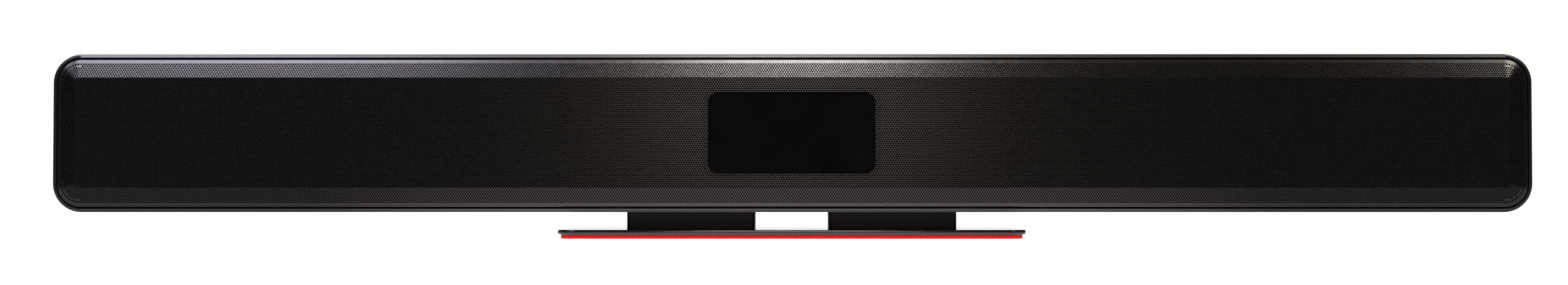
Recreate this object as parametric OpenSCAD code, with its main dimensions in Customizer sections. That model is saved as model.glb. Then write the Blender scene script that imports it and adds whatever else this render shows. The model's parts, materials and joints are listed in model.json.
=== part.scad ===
// Soundbar for a meeting room, on a low table stand.
// The front faces -Y, the width runs along X, and Z = 0 is the underside of the stand's pad.

/* [Bar] */
// Width of the bar
bar_w = 911; // [860:1:1100]
// Height of the bar
bar_h = 97.3; // [95:0.1:104]
// Depth of the bar, from the flat of the grille to the rear cover
bar_d = 88; // [86:1:110]
// Radius of the bar's corners, seen from the front
bar_r = 17.5; // [16:0.5:24]
// Thickness of the housing's wall
wall = 2.2; // [2.1:0.1:2.6]
// How much of the wall's thickness the sloping front of the rim takes
rim_taper = 1.9; // [0.5:0.1:2]
// How far the rim slopes back from its inner to its outer edge
rim_rise = 0.8; // [0.2:0.1:1.5]

/* [Front grille] */
// Dark gap between the housing's rim and the grille
rim_gap = 1.1; // [0.8:0.1:2]
// Width of the grille's bevelled border, seen from the front
bevel_w = 11.6; // [10:0.1:14]
// How far the flat of the grille stands in front of the grille's edge
bevel_rise = 4; // [3:0.1:5]
// How far the grille's edge stands in front of the housing's rim
edge_rise = 1.3; // [0:0.1:2]
// Thickness of the perforated sheet
sheet_t = 1; // [0.8:0.1:1.2]
// How far the grille's edge turns back into the housing
return_d = 6; // [4:0.5:6]

/* [Camera window] */
// Width of the opening in the grille
window_w = 102.5; // [96:0.5:106]
// Height of the opening in the grille
window_h = 50.4; // [48:0.1:54]
// Corner radius of the opening
window_r = 6.9; // [5:0.1:9]
// Thickness of the dark glass
glass_t = 2; // [1.5:0.1:2.5]

/* [Speakers] */
// Distance of each driver from the middle of the bar
driver_x = 365; // [355:1:390]
// Distance of each passive radiator from the middle of the bar
radiator_x = 220; // [210:1:230]
// Outer radius of the rolled part of a surround
roll_edge_r = 36.4; // [36:0.1:36.6]

/* [Stand] */
// Width of the base plate
plate_w = 288; // [260:1:320]
// Depth of the base plate
plate_d = 100; // [96:1:130]
// Thickness of the base plate
plate_t = 3; // [3:0.1:5]
// Corner radius of the base plate, seen from above
plate_r = 12; // [6:1:20]
// Thickness of the pad under the plate
pad_t = 2.5; // [1.5:0.1:4]
// How far the pad's edge stays inside the plate's edge
pad_inset = 2; // [1:0.5:6]
// Width of each post
post_w = 79.8; // [70:0.1:84]
// Depth of each post
post_d = 40; // [30:1:60]
// Height of each post
post_h = 10.7; // [8:0.1:12]
// Distance of each post's middle from the middle of the bar
post_x = 63; // [58:0.1:70]

/* [Rear] */
// Width of the recess for the plugs
bay_w = 204; // [196:1:206]
// Height of the recess for the plugs
bay_h = 40; // [38:1:42]
// Spacing of the wall-mounting threads along the width
mount_w = 300; // [290:1:310]
// Spacing of the wall-mounting threads along the height
mount_h = 40; // [30:1:44]

/* [Hidden] */
$fn = 64;

// Heights in the stand, from the table up
plate_z = pad_t;
post_z = plate_z + plate_t;
bar_z = post_z + post_h;
mid_z = bar_z + bar_h / 2;

// Depths in the bar, from the front back
flat_y = -bar_d / 2;
edge_y = flat_y + bevel_rise;
rim_y = edge_y + edge_rise;
back_y = bar_d / 2;
cover_t = 3;
cover_y = back_y - cover_t;
baffle_t = 3;
baffle_y = edge_y + return_d + 1;
baffle_back = baffle_y + baffle_t;

// The space inside the housing's wall
inner_w = bar_w - 2 * wall;
inner_h = bar_h - 2 * wall;
inner_r = bar_r - wall;

// The grille's outer edge
grille_w = inner_w - 2 * rim_gap;
grille_h = inner_h - 2 * rim_gap;
grille_r = inner_r - rim_gap;
bevel_angle = atan(bevel_rise / bevel_w);

// Dark window, glued behind the grille, with a foam seal between it and its frame
glass_lap = 3;
glass_w = window_w + 2 * glass_lap;
glass_h = window_h + 2 * glass_lap;
glass_r = window_r + glass_lap;
glass_y = flat_y + sheet_t + 0.2;
gasket_t = 1;
gasket_y = glass_y + glass_t;
frame_y = gasket_y + gasket_t;
frame_lip = 5;
cloth_gap = 0.3;
cloth_t = 0.4;

// Screws: M4 in the stand and wall mount, M3 elsewhere
m4_r = 2;
m4_clear_r = 2.2;
m3_r = 1.5;
m3_clear_r = 1.7;
m3_head_r = 2.8;
m3_head_t = 1.8;
insert_r = 3.2;
insert_len = 8;
insert_bore_r = 2.05;
insert_boss_r = 6;
stand_screw_dx = 25;
stand_screw_len = 20;
countersink_r = 4;
countersink_t = 2;

// Screw pillars inside the housing, as [x, height above the middle]
pillar_w = 10;
pillar_points = [for (x = [-1, 1], z = [-1, 1]) each [
    [x * 112, z * (inner_h / 2 - 8.2)],
    [x * (inner_w / 2 - 8.3), z * 25]
]];
rear_boss_points = [for (x = [-1, 1], z = [-1, 1]) [x * 280, z * (inner_h / 2 - 5.4)]];
rear_boss_d = 6.6;
rear_boss_h = 12;
mount_points = [for (x = [-1, 1], z = [-1, 1]) [x * mount_w / 2, z * mount_h / 2]];

// Sealed speaker boxes, one behind each half of the baffle
box_x0 = 122;
box_x1 = inner_w / 2 - 15.3;
box_h = 78.6;
box_wall = 2;
box_back = cover_y - rear_boss_d - 0.4;

// Driver, measured from the baffle's front face back along its axis
flange_r = 41;
flange_t = 2;
cutout_r = 37.5;
roll_r = 3;
roll_t = 0.6;
roll_mid_r = roll_edge_r - roll_r;
land_w = 1.8;
cone_edge_r = roll_mid_r - roll_r + roll_t;
former_r = 9.9;
former_t = 0.3;
former_top = 9;
former_end = 31;
neck_s = 10.6;
cone_t = 0.6;
cap_r = 12;
cap_rise = 4;
cap_t = 0.4;
cap_s = 9;
spider_s = 16.4;
spider_t = 0.6;
spider_r = 25;
ledge_s = spider_s + spider_t;
motor_s = 24;
top_plate_t = 4;
magnet_t = 12;
back_plate_t = 4;
gap_r = 11;
pole_r = 9.3;
coil_r = 10.5;
coil_len = 8;
coil_s = motor_s + top_plate_t / 2 - coil_len / 2;

// Boards, ports and the recess behind them
board_t = 1.6;
board_w = 200;
board_d = 56;
board_z = mid_z - 26.5;
board_top = board_z + board_t;
bay_mid_z = mid_z - 13;
bay_wall = 2;
panel_t = 1;
panel_y = cover_y - 11.2;
mouth_y = panel_y + panel_t;
port_gap = 0.3;
amp_z = mid_z + 29;
amp_d = 50;
amp_top = amp_z + board_t;
stand_off_r = 3.5;
pilot_r = 1.55;
board_screw_x = 94;
board_screw_y = 19;

// Ports on the main board: each size is [width, height, depth], and each place is along the width
network_size = [16, 13.5, 21];
network_x = -62;
video_size = [15, 5.6, 12];
video_x = [-32, -6];
usb_size = [13.4, 6, 14];
usb_x = [20, 42];
button_x = 60;
button_r = 2;
button_z = board_top + 4;
jack_size = [9, 11, 14];
jack_x = 80;

// ---- Shapes used by several parts ----

// A rectangle with round corners, about its middle
module rounded_rect(w, h, r) {
    square([w - 2 * r, h], center = true);
    square([w, h - 2 * r], center = true);
    for (x = [-1, 1], y = [-1, 1])
        translate([x * (w / 2 - r), y * (h / 2 - r)])
            circle(r);
}

// A flat shape drawn as seen from the front, made solid from depth y0 to y1 at the bar's middle height
module front_slab(y0, y1) {
    translate([0, y1, mid_z])
        rotate([90, 0, 0])
            linear_extrude(y1 - y0)
                children();
}

// A slab with round corners whose outline narrows by taper on every side towards its front, at depth y0
module tapered_slab(w, h, r, taper, y0, y1) {
    depth = y1 - y0;
    corner_x = w / 2 - r;
    corner_z = h / 2 - r;
    flank = [[0, 0], [r, 0], [r - taper, depth], [0, depth]];
    translate([0, y1, mid_z])
        rotate([90, 0, 0]) {
            translate([-corner_x, -corner_z, 0])
                cube([2 * corner_x, 2 * corner_z, depth]);
            for (flip = [0, 1]) {
                mirror([0, flip, 0])
                    translate([-corner_x, corner_z, 0])
                        rotate([90, 0, 90])
                            linear_extrude(2 * corner_x)
                                polygon(flank);
                mirror([flip, 0, 0])
                    translate([corner_x, corner_z, 0])
                        rotate([90, 0, 0])
                            linear_extrude(2 * corner_z)
                                polygon(flank);
            }
            for (flip_x = [0, 1], flip_z = [0, 1])
                mirror([flip_x, 0, 0])
                    mirror([0, flip_z, 0])
                        translate([corner_x, corner_z, 0])
                            rotate_extrude(angle = 90)
                                polygon(flank);
        }
}

// A flat shape drawn as seen from above, made solid from height z0 to z1
module flat_slab(z0, z1) {
    translate([0, 0, z0])
        linear_extrude(z1 - z0)
            children();
}

// A round rod along Y
module rod_y(x, z, r, y0, y1) {
    translate([x, y0, z])
        rotate([-90, 0, 0])
            cylinder(h = y1 - y0, r = r);
}

// A round rod along Z
module rod_z(x, y, r, z0, z1) {
    translate([x, y, z0])
        cylinder(h = z1 - z0, r = r);
}

// A block from one corner to the other
module block(low, high) {
    translate(low)
        cube(high - low);
}

// A profile of [radius, depth behind the baffle's front] turned about the axis of a driver
module turned(x) {
    translate([x, baffle_y, mid_z])
        rotate([-90, 0, 0])
            rotate_extrude()
                children();
}

// A pan-head screw along Y: its head is in front of y, and its shank runs back
module screw_y(x, z, y, shank_r, len, head_r, head_t, way = 1) {
    rod_y(x, z, head_r, min(y, y - way * head_t), max(y, y - way * head_t));
    rod_y(x, z, shank_r, min(y, y + way * len), max(y, y + way * len));
}

// ---- Stand ----

module post_holes(r, z0, z1) {
    for (side = [-1, 1], dx = [-1, 1])
        rod_z(side * post_x + dx * stand_screw_dx, 0, r, z0, z1);
}

module base_pad() {
    pad_access_r = 5;
    color("red")
        difference() {
            flat_slab(0, pad_t)
                rounded_rect(plate_w - 2 * pad_inset, plate_d - 2 * pad_inset, plate_r - pad_inset);
            post_holes(pad_access_r, -1, pad_t + 1);
        }
}

module base_plate() {
    color("#202022")
        difference() {
            flat_slab(plate_z, post_z)
                rounded_rect(plate_w, plate_d, plate_r);
            post_holes(m4_clear_r, plate_z - 1, post_z + 1);
            for (side = [-1, 1], dx = [-1, 1])
                translate([side * post_x + dx * stand_screw_dx, 0, plate_z])
                    cylinder(h = countersink_t + 0.2, r1 = countersink_r + 0.2, r2 = m4_r);
        }
}

module post(side) {
    post_corner_r = 2;
    color("#161617")
        difference() {
            flat_slab(post_z, bar_z)
                translate([side * post_x, 0])
                    rounded_rect(post_w, post_d, post_corner_r);
            post_holes(m4_clear_r, post_z - 1, bar_z + 1);
        }
}

module stand_screws() {
    color("#3a3a3c")
        for (side = [-1, 1], dx = [-1, 1])
            translate([side * post_x + dx * stand_screw_dx, 0, plate_z])
                difference() {
                    union() {
                        cylinder(h = countersink_t, r1 = countersink_r, r2 = m4_r);
                        cylinder(h = stand_screw_len, r = m4_r);
                    }
                    translate([0, 0, -1])
                        cylinder(h = 2.4, r = 1.25, $fn = 6);
                }
}

// ---- Housing and rear ----

// Screw pillars that tie the baffle, the housing and the rear cover together
module pillars() {
    for (p = pillar_points)
        block([p[0] - pillar_w / 2, baffle_back, mid_z + p[1] - pillar_w / 2],
              [p[0] + pillar_w / 2, cover_y, mid_z + p[1] + pillar_w / 2]);
    for (x = [-1, 1] * 112, z = [-1, 1])
        translate([x, (baffle_back + cover_y) / 2, mid_z + z * (inner_h / 2 - 1.5)])
            cube([pillar_w, cover_y - baffle_back, 4], center = true);
    for (x = [-1, 1], z = [-1, 1] * 25)
        translate([x * (inner_w / 2 - 1.5), (baffle_back + cover_y) / 2, mid_z + z])
            cube([4, cover_y - baffle_back, pillar_w], center = true);
}

module rear_bosses() {
    for (p = rear_boss_points)
        block([p[0] - pillar_w / 2, cover_y - rear_boss_d, mid_z + p[1] - rear_boss_h / 2],
              [p[0] + pillar_w / 2, cover_y, mid_z + p[1] + rear_boss_h / 2]);
}

module board_stand_offs() {
    for (x = [-1, 1] * board_screw_x, y = [-1, 1] * board_screw_y) {
        rod_z(x, y, stand_off_r, bar_z + wall - 0.5, board_z);
        rod_z(x, y, stand_off_r, amp_top, bar_z + bar_h - wall + 0.5);
    }
}

module housing() {
    pilot_d = 12;
    color("#2c2c2f")
        difference() {
            union() {
                difference() {
                    union() {
                        tapered_slab(bar_w, bar_h, bar_r, rim_taper, rim_y, rim_y + rim_rise);
                        front_slab(rim_y + rim_rise, back_y)
                            rounded_rect(bar_w, bar_h, bar_r);
                    }
                    front_slab(rim_y - 1, back_y + 1)
                        rounded_rect(inner_w, inner_h, inner_r);
                }
                pillars();
                rear_bosses();
                board_stand_offs();
                post_holes(insert_boss_r, bar_z + 1, bar_z + insert_len);
            }
            post_holes(insert_r, bar_z - 1, bar_z + insert_len + 1);
            for (p = pillar_points) {
                rod_y(p[0], mid_z + p[1], pilot_r, baffle_back - 1, baffle_back + pilot_d);
                rod_y(p[0], mid_z + p[1], pilot_r, cover_y - pilot_d, cover_y + 1);
            }
            for (p = rear_boss_points)
                rod_y(p[0], mid_z + p[1], pilot_r, cover_y - rear_boss_d - 1, cover_y + 1);
            for (x = [-1, 1] * board_screw_x, y = [-1, 1] * board_screw_y) {
                rod_z(x, y, pilot_r, board_z - 8, board_z + 1);
                rod_z(x, y, pilot_r, amp_top - 1, amp_top + 8);
            }
        }
}

// One row of upright cooling slots in the rear cover
module vent_row(x, z, count) {
    slot_pitch = 6;
    slot_w = 2.4;
    slot_h = 14;
    for (i = [0 : count - 1])
        translate([x + (i - (count - 1) / 2) * slot_pitch, z])
            rounded_rect(slot_w, slot_h, slot_w / 2 - 0.01);
}

module rear_cover() {
    edge_gap = 0.3;
    vents_z = mid_z + 27;
    color("#1b1b1c")
        difference() {
            union() {
                front_slab(cover_y, back_y)
                    rounded_rect(inner_w - 2 * edge_gap, inner_h - 2 * edge_gap, inner_r - edge_gap);
                front_slab(mouth_y, cover_y + 0.5)
                    translate([0, bay_mid_z - mid_z])
                        rounded_rect(bay_w + 2 * bay_wall, bay_h + 2 * bay_wall, 6);
                for (p = mount_points)
                    rod_y(p[0], mid_z + p[1], insert_boss_r, back_y - insert_len, cover_y + 0.5);
            }
            front_slab(mouth_y - 1, back_y + 1)
                translate([0, bay_mid_z - mid_z])
                    rounded_rect(bay_w, bay_h, 4);
            for (p = mount_points)
                rod_y(p[0], mid_z + p[1], insert_r, back_y - insert_len - 1, back_y + 1);
            for (p = concat(pillar_points, rear_boss_points))
                rod_y(p[0], mid_z + p[1], m3_clear_r, cover_y - 1, back_y + 1);
            for (p = concat(pillar_points, rear_boss_points))
                rod_y(p[0], mid_z + p[1], m3_head_r + 0.3, back_y - m3_head_t, back_y + 1);
            front_slab(cover_y - 1, back_y + 1)
                vent_row(0, vents_z - mid_z, 30);
            for (side = [-1, 1])
                front_slab(cover_y - 1, back_y + 1)
                    vent_row(side * driver_x, vents_z - mid_z, 12);
        }
}

module rear_cover_screws() {
    color("#2a2a2b")
        for (p = concat(pillar_points, rear_boss_points))
            difference() {
                screw_y(p[0], mid_z + p[1], back_y - m3_head_t, m3_r, 7, m3_head_r, m3_head_t - 0.2, -1);
                rod_y(p[0], mid_z + p[1], 1, back_y - 1.2, back_y + 1, $fn = 6);
            }
}

module insert_body() {
    difference() {
        cylinder(h = insert_len, r = insert_r);
        translate([0, 0, -1])
            cylinder(h = insert_len + 2, r = insert_bore_r);
    }
}

module threaded_inserts() {
    color("goldenrod") {
        for (side = [-1, 1], dx = [-1, 1])
            translate([side * post_x + dx * stand_screw_dx, 0, bar_z])
                insert_body();
        for (p = mount_points)
            translate([p[0], back_y - insert_len, mid_z + p[1]])
                rotate([-90, 0, 0])
                    insert_body();
    }
}

// ---- Front ----

// The outside of the pressed grille, moved inwards by t, down to depth y_end
module pan_solid(t, y_end) {
    fold_y = edge_y + t / cos(bevel_angle) - t * tan(bevel_angle);
    taper = bevel_w + t * (1 / cos(bevel_angle) - 1) / tan(bevel_angle) - t;
    tapered_slab(grille_w - 2 * t, grille_h - 2 * t, grille_r - t, taper, flat_y + t, fold_y);
    front_slab(fold_y, y_end)
        rounded_rect(grille_w - 2 * t, grille_h - 2 * t, grille_r - t);
}

module front_grille() {
    color("#3b3b3e")
        difference() {
            pan_solid(0, edge_y + return_d);
            pan_solid(sheet_t, edge_y + return_d + 1);
            front_slab(flat_y - 1, flat_y + sheet_t + 1)
                rounded_rect(window_w, window_h, window_r);
        }
}

module acoustic_cloth() {
    front_t = sheet_t + cloth_gap;
    color("#0c0c0c")
        difference() {
            pan_solid(front_t, edge_y + front_t + cloth_t);
            pan_solid(front_t + cloth_t, edge_y + front_t + cloth_t + 1);
            front_slab(flat_y, flat_y + 4)
                rounded_rect(glass_w + 1, glass_h + 1, glass_r + 0.5);
        }
}

module camera_window() {
    color("#050506")
        front_slab(glass_y, glass_y + glass_t)
            rounded_rect(glass_w, glass_h, glass_r);
}

module window_gasket() {
    color("#151515")
        difference() {
            front_slab(gasket_y, frame_y)
                rounded_rect(glass_w, glass_h, glass_r);
            front_slab(gasket_y - 1, frame_y + 1)
                rounded_rect(glass_w - 8, glass_h - 8, glass_r - 4);
        }
}

module front_baffle() {
    edge_gap = 0.4;
    rib_gap = sheet_t + 0.3;
    rib_t = 2;
    rib_y = edge_y + 2.4;
    color("#222223")
        difference() {
            union() {
                front_slab(baffle_y, baffle_back)
                    rounded_rect(inner_w - 2 * edge_gap, inner_h - 2 * edge_gap, inner_r - edge_gap);
                front_slab(frame_y, baffle_y + 0.5)
                    rounded_rect(glass_w, glass_h, glass_r);
                difference() {
                    front_slab(rib_y, baffle_y + 0.5)
                        rounded_rect(grille_w - 2 * rib_gap, grille_h - 2 * rib_gap, grille_r - rib_gap);
                    front_slab(rib_y - 1, baffle_y + 1)
                        rounded_rect(grille_w - 2 * (rib_gap + rib_t), grille_h - 2 * (rib_gap + rib_t),
                                     grille_r - rib_gap - rib_t);
                }
                for (side = [-1, 1], dx = [-1, 1])
                    rod_y(side * mic_x + dx * mic_screw_dx, mic_z, 2, mic_y + mic_t, baffle_y + 0.5);
            }
            front_slab(frame_y - 1, baffle_back + 1)
                rounded_rect(glass_w - 2 * frame_lip, glass_h - 2 * frame_lip, glass_r - frame_lip);
            for (side = [-1, 1]) {
                rod_y(side * driver_x, mid_z, cutout_r, baffle_y - 1, baffle_back + 1);
                rod_y(side * radiator_x, mid_z, roll_edge_r - roll_t, baffle_y - 1, baffle_back + 1);
            }
            for (p = pillar_points)
                rod_y(p[0], mid_z + p[1], m3_clear_r, baffle_y - 1, baffle_back + 1);
        }
}

module baffle_screws() {
    color("#2a2a2b")
        for (p = pillar_points)
            screw_y(p[0], mid_z + p[1], baffle_y, m3_r, 12, m3_head_r, m3_head_t);
}

// ---- Camera ----

shroud_w = 51.7;
shroud_y = frame_y + 0.4;
barrel_r = 11;
camera_board_y = flat_y + 31;
sensor_x = -35;

module camera_shroud() {
    shroud_d = 12;
    color("#070707")
        difference() {
            front_slab(shroud_y, shroud_y + shroud_d)
                square([shroud_w, glass_h - 2 * frame_lip - 0.8], center = true);
            rod_y(0, mid_z, barrel_r + 0.5, shroud_y - 1, shroud_y + shroud_d + 1);
            translate([0, shroud_y, mid_z])
                rotate([-90, 0, 0])
                    cylinder(h = 5, r1 = barrel_r + 8, r2 = barrel_r + 0.5);
        }
}

module camera_barrel() {
    color("#0d0d0e")
        difference() {
            union() {
                rod_y(0, mid_z, barrel_r, shroud_y + 3, camera_board_y - 6);
                front_slab(camera_board_y - 6, camera_board_y)
                    square([26, 26], center = true);
            }
            rod_y(0, mid_z, barrel_r - 2, shroud_y + 2, shroud_y + 9);
        }
}

module camera_lens() {
    lens_r = barrel_r - 2.2;
    lens_curve_r = 16;
    color("#101820")
        intersection() {
            rod_y(0, mid_z, lens_r, shroud_y + 3, shroud_y + 9);
            translate([0, shroud_y + 4 + lens_curve_r, mid_z])
                sphere(lens_curve_r);
        }
}

module camera_board() {
    color("darkgreen")
        front_slab(camera_board_y, camera_board_y + board_t)
            square([44, 40], center = true);
}

module camera_bracket() {
    bracket_y = camera_board_y + board_t + 3;
    bracket_t = 1.5;
    leg_x = 42;
    color("silver") {
        front_slab(bracket_y, bracket_y + bracket_t)
            square([2 * leg_x, 44], center = true);
        for (side = [-1, 1])
            block([side * leg_x - bracket_t / 2, baffle_back, mid_z - 22],
                  [side * leg_x + bracket_t / 2, bracket_y + bracket_t, mid_z + 22]);
        for (side = [-1, 1])
            block([side * (leg_x + 5) - 5, baffle_back, mid_z + 23.5 - 1.5],
                  [side * (leg_x + 5) + 5, baffle_back + bracket_t, mid_z + 23.5 + 8]);
        for (x = [-1, 1] * 18, z = [-1, 1] * 16)
            rod_y(x, mid_z + z, 2.5, camera_board_y + board_t, bracket_y + 0.5);
    }
}

module sensor_board() {
    color("#0a0a0b")
        front_slab(shroud_y + 1, shroud_y + 1 + board_t)
            translate([sensor_x, 0])
                square([17.6, 8.2], center = true);
}

// ---- Microphones ----

mic_x = 117;
mic_w = 110;
mic_h = 8;
mic_t = 1.2;
mic_y = baffle_y - 4;
mic_z = mid_z + 36;
mic_screw_dx = 45;

module microphone_board(side) {
    mic_pitch = 20;
    color("darkgreen")
        translate([side * mic_x, mic_y, mic_z]) {
            translate([-mic_w / 2, 0, -mic_h / 2])
                cube([mic_w, mic_t, mic_h]);
            for (i = [-2 : 2])
                translate([i * mic_pitch - 2, -1, -1.5])
                    cube([4, 1.2, 3]);
        }
}

// ---- Boards and ports ----

module main_board() {
    color("darkgreen")
        difference() {
            block([-board_w / 2, -board_d / 2, board_z], [board_w / 2, board_d / 2, board_top]);
            for (x = [-1, 1] * board_screw_x, y = [-1, 1] * board_screw_y)
                rod_z(x, y, m3_clear_r, board_z - 1, board_top + 1);
        }
}

module main_board_chips() {
    color("#202020") {
        block([-20, -22, board_top], [12, 6, board_top + 2]);
        block([28, -20, board_top], [44, -6, board_top + 1.2]);
        for (i = [0 : 3])
            block([-84 + i * 14, -20, board_top], [-74 + i * 14, -8, board_top + 1.2]);
        block([button_x - 3, mouth_y - 12, board_top], [button_x + 3, mouth_y - 7.2, board_top + 7]);
    }
}

// A metal-shelled socket on the main board, open to the rear, with a contact tongue inside
module shell_port(x, size, tongue) {
    shell_t = 0.4;
    z0 = board_top;
    difference() {
        block([x - size[0] / 2, mouth_y - size[2], z0], [x + size[0] / 2, mouth_y, z0 + size[1]]);
        block([x - size[0] / 2 + shell_t, mouth_y - size[2] + 2, z0 + shell_t],
              [x + size[0] / 2 - shell_t, mouth_y + 1, z0 + size[1] - shell_t]);
    }
    block([x - tongue[0] / 2, mouth_y - size[2] + 1, z0 + tongue[2]],
          [x + tongue[0] / 2, mouth_y - 1.5, z0 + tongue[2] + tongue[1]]);
}

module video_ports() {
    color("silver")
        for (x = video_x)
            shell_port(x, video_size, [10.6, 1, 2.3]);
}

module usb_ports() {
    color("silver")
        for (x = usb_x)
            shell_port(x, usb_size, [10.8, 1.8, 3.2]);
}

module network_port() {
    plug_w = 11.8;
    plug_h = 8.2;
    latch_w = 6;
    x = network_x;
    z0 = board_top;
    color("silver")
        difference() {
            block([x - network_size[0] / 2, mouth_y - network_size[2], z0],
                  [x + network_size[0] / 2, mouth_y, z0 + network_size[1]]);
            block([x - plug_w / 2, mouth_y - 14, z0 + 3.6],
                  [x + plug_w / 2, mouth_y + 1, z0 + 3.6 + plug_h]);
            block([x - latch_w / 2, mouth_y - 10, z0 + 1.6], [x + latch_w / 2, mouth_y + 1, z0 + 4]);
        }
}

module power_jack() {
    bore_r = 3.15;
    pin_r = 1;
    bore_d = 10;
    z = board_top + jack_size[1] / 2;
    color("#111111") {
        difference() {
            block([jack_x - jack_size[0] / 2, mouth_y - jack_size[2], board_top],
                  [jack_x + jack_size[0] / 2, mouth_y, board_top + jack_size[1]]);
            rod_y(jack_x, z, bore_r, mouth_y - bore_d, mouth_y + 1);
        }
        rod_y(jack_x, z, pin_r, mouth_y - bore_d - 1, mouth_y - 1);
    }
}

module reset_button() {
    stem_end = 6;
    stands_out = 1.2;
    collar_r = 2.8;
    color("#303032") {
        rod_y(button_x, button_z, button_r, mouth_y - stem_end, mouth_y + stands_out);
        rod_y(button_x, button_z, collar_r, panel_y - 1.3, panel_y - 0.3);
    }
}

module port_panel() {
    color("gray")
        difference() {
            front_slab(panel_y, mouth_y)
                translate([0, bay_mid_z - mid_z])
                    rounded_rect(bay_w + 2 * bay_wall, bay_h + 2 * bay_wall, 6);
            for (p = [
                [network_x, network_size], [video_x[0], video_size], [video_x[1], video_size],
                [usb_x[0], usb_size], [usb_x[1], usb_size], [jack_x, jack_size]
            ])
                block([p[0] - p[1][0] / 2 - port_gap, panel_y - 1, board_top - port_gap],
                      [p[0] + p[1][0] / 2 + port_gap, mouth_y + 1, board_top + p[1][1] + port_gap]);
            rod_y(button_x, button_z, button_r + port_gap, panel_y - 1, mouth_y + 1);
        }
}

module amplifier_board() {
    color("darkgreen")
        difference() {
            block([-board_w / 2, -amp_d / 2, amp_z], [board_w / 2, amp_d / 2, amp_top]);
            for (x = [-1, 1] * board_screw_x, y = [-1, 1] * board_screw_y)
                rod_z(x, y, m3_clear_r, amp_z - 1, amp_top + 1);
        }
}

chip_t = 1.2;

module amplifier_parts() {
    color("#202020") {
        for (x = [-1, 1] * 22)
            block([x - 6, -6, amp_top], [x + 6, 6, amp_top + chip_t]);
        for (x = [-1, 1] * 60, y = [-1, 1] * 10)
            block([x - 5, y - 5, amp_top], [x + 5, y + 5, amp_top + 5]);
        for (x = [-1, 1] * 76, y = [-1, 1] * 8)
            rod_z(x, y, 4, amp_top, amp_top + 11);
    }
}

module heat_sink() {
    sink_w = 90;
    sink_d = 36;
    sink_z = amp_top + chip_t;
    base_t = 2.5;
    fin_h = 8;
    fin_t = 1.4;
    fin_count = 13;
    fin_pitch = (sink_w - fin_t) / (fin_count - 1);
    color("#9a9a9c") {
        block([-sink_w / 2, -sink_d / 2, sink_z], [sink_w / 2, sink_d / 2, sink_z + base_t]);
        for (i = [0 : fin_count - 1])
            translate([-sink_w / 2 + i * fin_pitch, -sink_d / 2, sink_z + base_t - 0.1])
                cube([fin_t, sink_d, fin_h]);
    }
}

module board_screws() {
    color("silver")
        for (x = [-1, 1] * board_screw_x, y = [-1, 1] * board_screw_y) {
            rod_z(x, y, m3_head_r, board_top, board_top + m3_head_t);
            rod_z(x, y, m3_r, board_z - 6, board_top + 0.5);
            rod_z(x, y, m3_head_r, amp_z - m3_head_t, amp_z);
            rod_z(x, y, m3_r, amp_z - 0.5, amp_top + 6);
        }
}

// ---- Speaker boxes and their leads ----

// The lead leaves the underside of the amplifier board, passes through the box wall, turns in a clip
// and ends at the basket's terminal
lead_r = 1.5;
lead_clip = [7, 6, 9];
lead_clip_top = 3;
lead_y = 10;
lead_z = amp_z - lead_r - 0.1;
function lead_points(side) = [
    [side * (board_w / 2 - 8), lead_y, lead_z],
    [side * (driver_x - 46), lead_y, lead_z],
    [side * (driver_x - 40), baffle_y + 22, mid_z + 12]
];

module lead_run(points) {
    for (i = [0 : len(points) - 2])
        let (step = points[i + 1] - points[i], length = norm(step))
            translate(points[i])
                rotate([0, acos(step[2] / length), atan2(step[1], step[0])])
                    cylinder(h = length, r = lead_r);
    translate(points[1] - [lead_clip.x / 2, lead_clip.y / 2, lead_clip.z - lead_clip_top])
        cube(lead_clip);
}

module speaker_leads() {
    color("#8a1f1f")
        for (side = [-1, 1])
            lead_run(lead_points(side));
}

module enclosure(side) {
    mid_x = side * (box_x0 + box_x1) / 2;
    box_w = box_x1 - box_x0;
    lead_hole_r = 4.5;
    color("#29292a")
        difference() {
            front_slab(baffle_back, box_back)
                translate([mid_x, 0])
                    rounded_rect(box_w, box_h, 6);
            front_slab(baffle_back - 1, box_back - box_wall)
                translate([mid_x, 0])
                    rounded_rect(box_w - 2 * box_wall, box_h - 2 * box_wall, 4);
            translate([side * (box_x0 + box_wall / 2), lead_y, lead_z])
                rotate([0, 90, 0])
                    cylinder(h = 3 * box_wall, r = lead_hole_r, center = true);
        }
}

// ---- Drivers: depths in the profiles run back from the baffle's front face ----

module driver_basket(side) {
    window_count = 6;
    color("#2f2f31")
        difference() {
            turned(side * driver_x)
                polygon([
                    [roll_edge_r - roll_t, -flange_t], [flange_r, -flange_t], [flange_r, 0],
                    [cutout_r - 0.5, 0], [31, motor_s - 2], [31, motor_s], [13, motor_s],
                    [13, motor_s - 2], [spider_r - 1.5, motor_s - 2], [spider_r - 1.5, ledge_s],
                    [30.8, ledge_s], [35, 0]
                ]);
            for (i = [0 : window_count - 1])
                translate([side * driver_x, baffle_y + 4, mid_z])
                    rotate([0, i * 360 / window_count + 30, 0])
                        translate([24, 0, -11])
                            cube([16, 11, 22]);
        }
}

// A half-roll of rubber between a cone or plate and its frame, glued to a face at depth s
module surround(x, s) {
    color("#141414")
        turned(x)
            union() {
                difference() {
                    translate([roll_mid_r, s])
                        circle(roll_r);
                    translate([roll_mid_r, s])
                        circle(roll_r - roll_t);
                    translate([roll_mid_r - roll_r - 1, s])
                        square([2 * roll_r + 2, roll_r + 1]);
                }
                translate([roll_mid_r - roll_r + roll_t - land_w, s - roll_t])
                    square([land_w, roll_t]);
                translate([roll_edge_r - roll_t, s - roll_t])
                    square([40 - roll_edge_r + roll_t, roll_t]);
            }
}

module driver_cone(side) {
    lip_w = land_w;
    color("#1c1c1e")
        turned(side * driver_x)
            polygon([
                [former_r, neck_s], [cone_edge_r - lip_w, -flange_t], [cone_edge_r, -flange_t],
                [cone_edge_r, -flange_t + cone_t], [cone_edge_r - lip_w + 0.4, -flange_t + cone_t],
                [former_r, neck_s + 0.7]
            ]);
}

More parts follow.
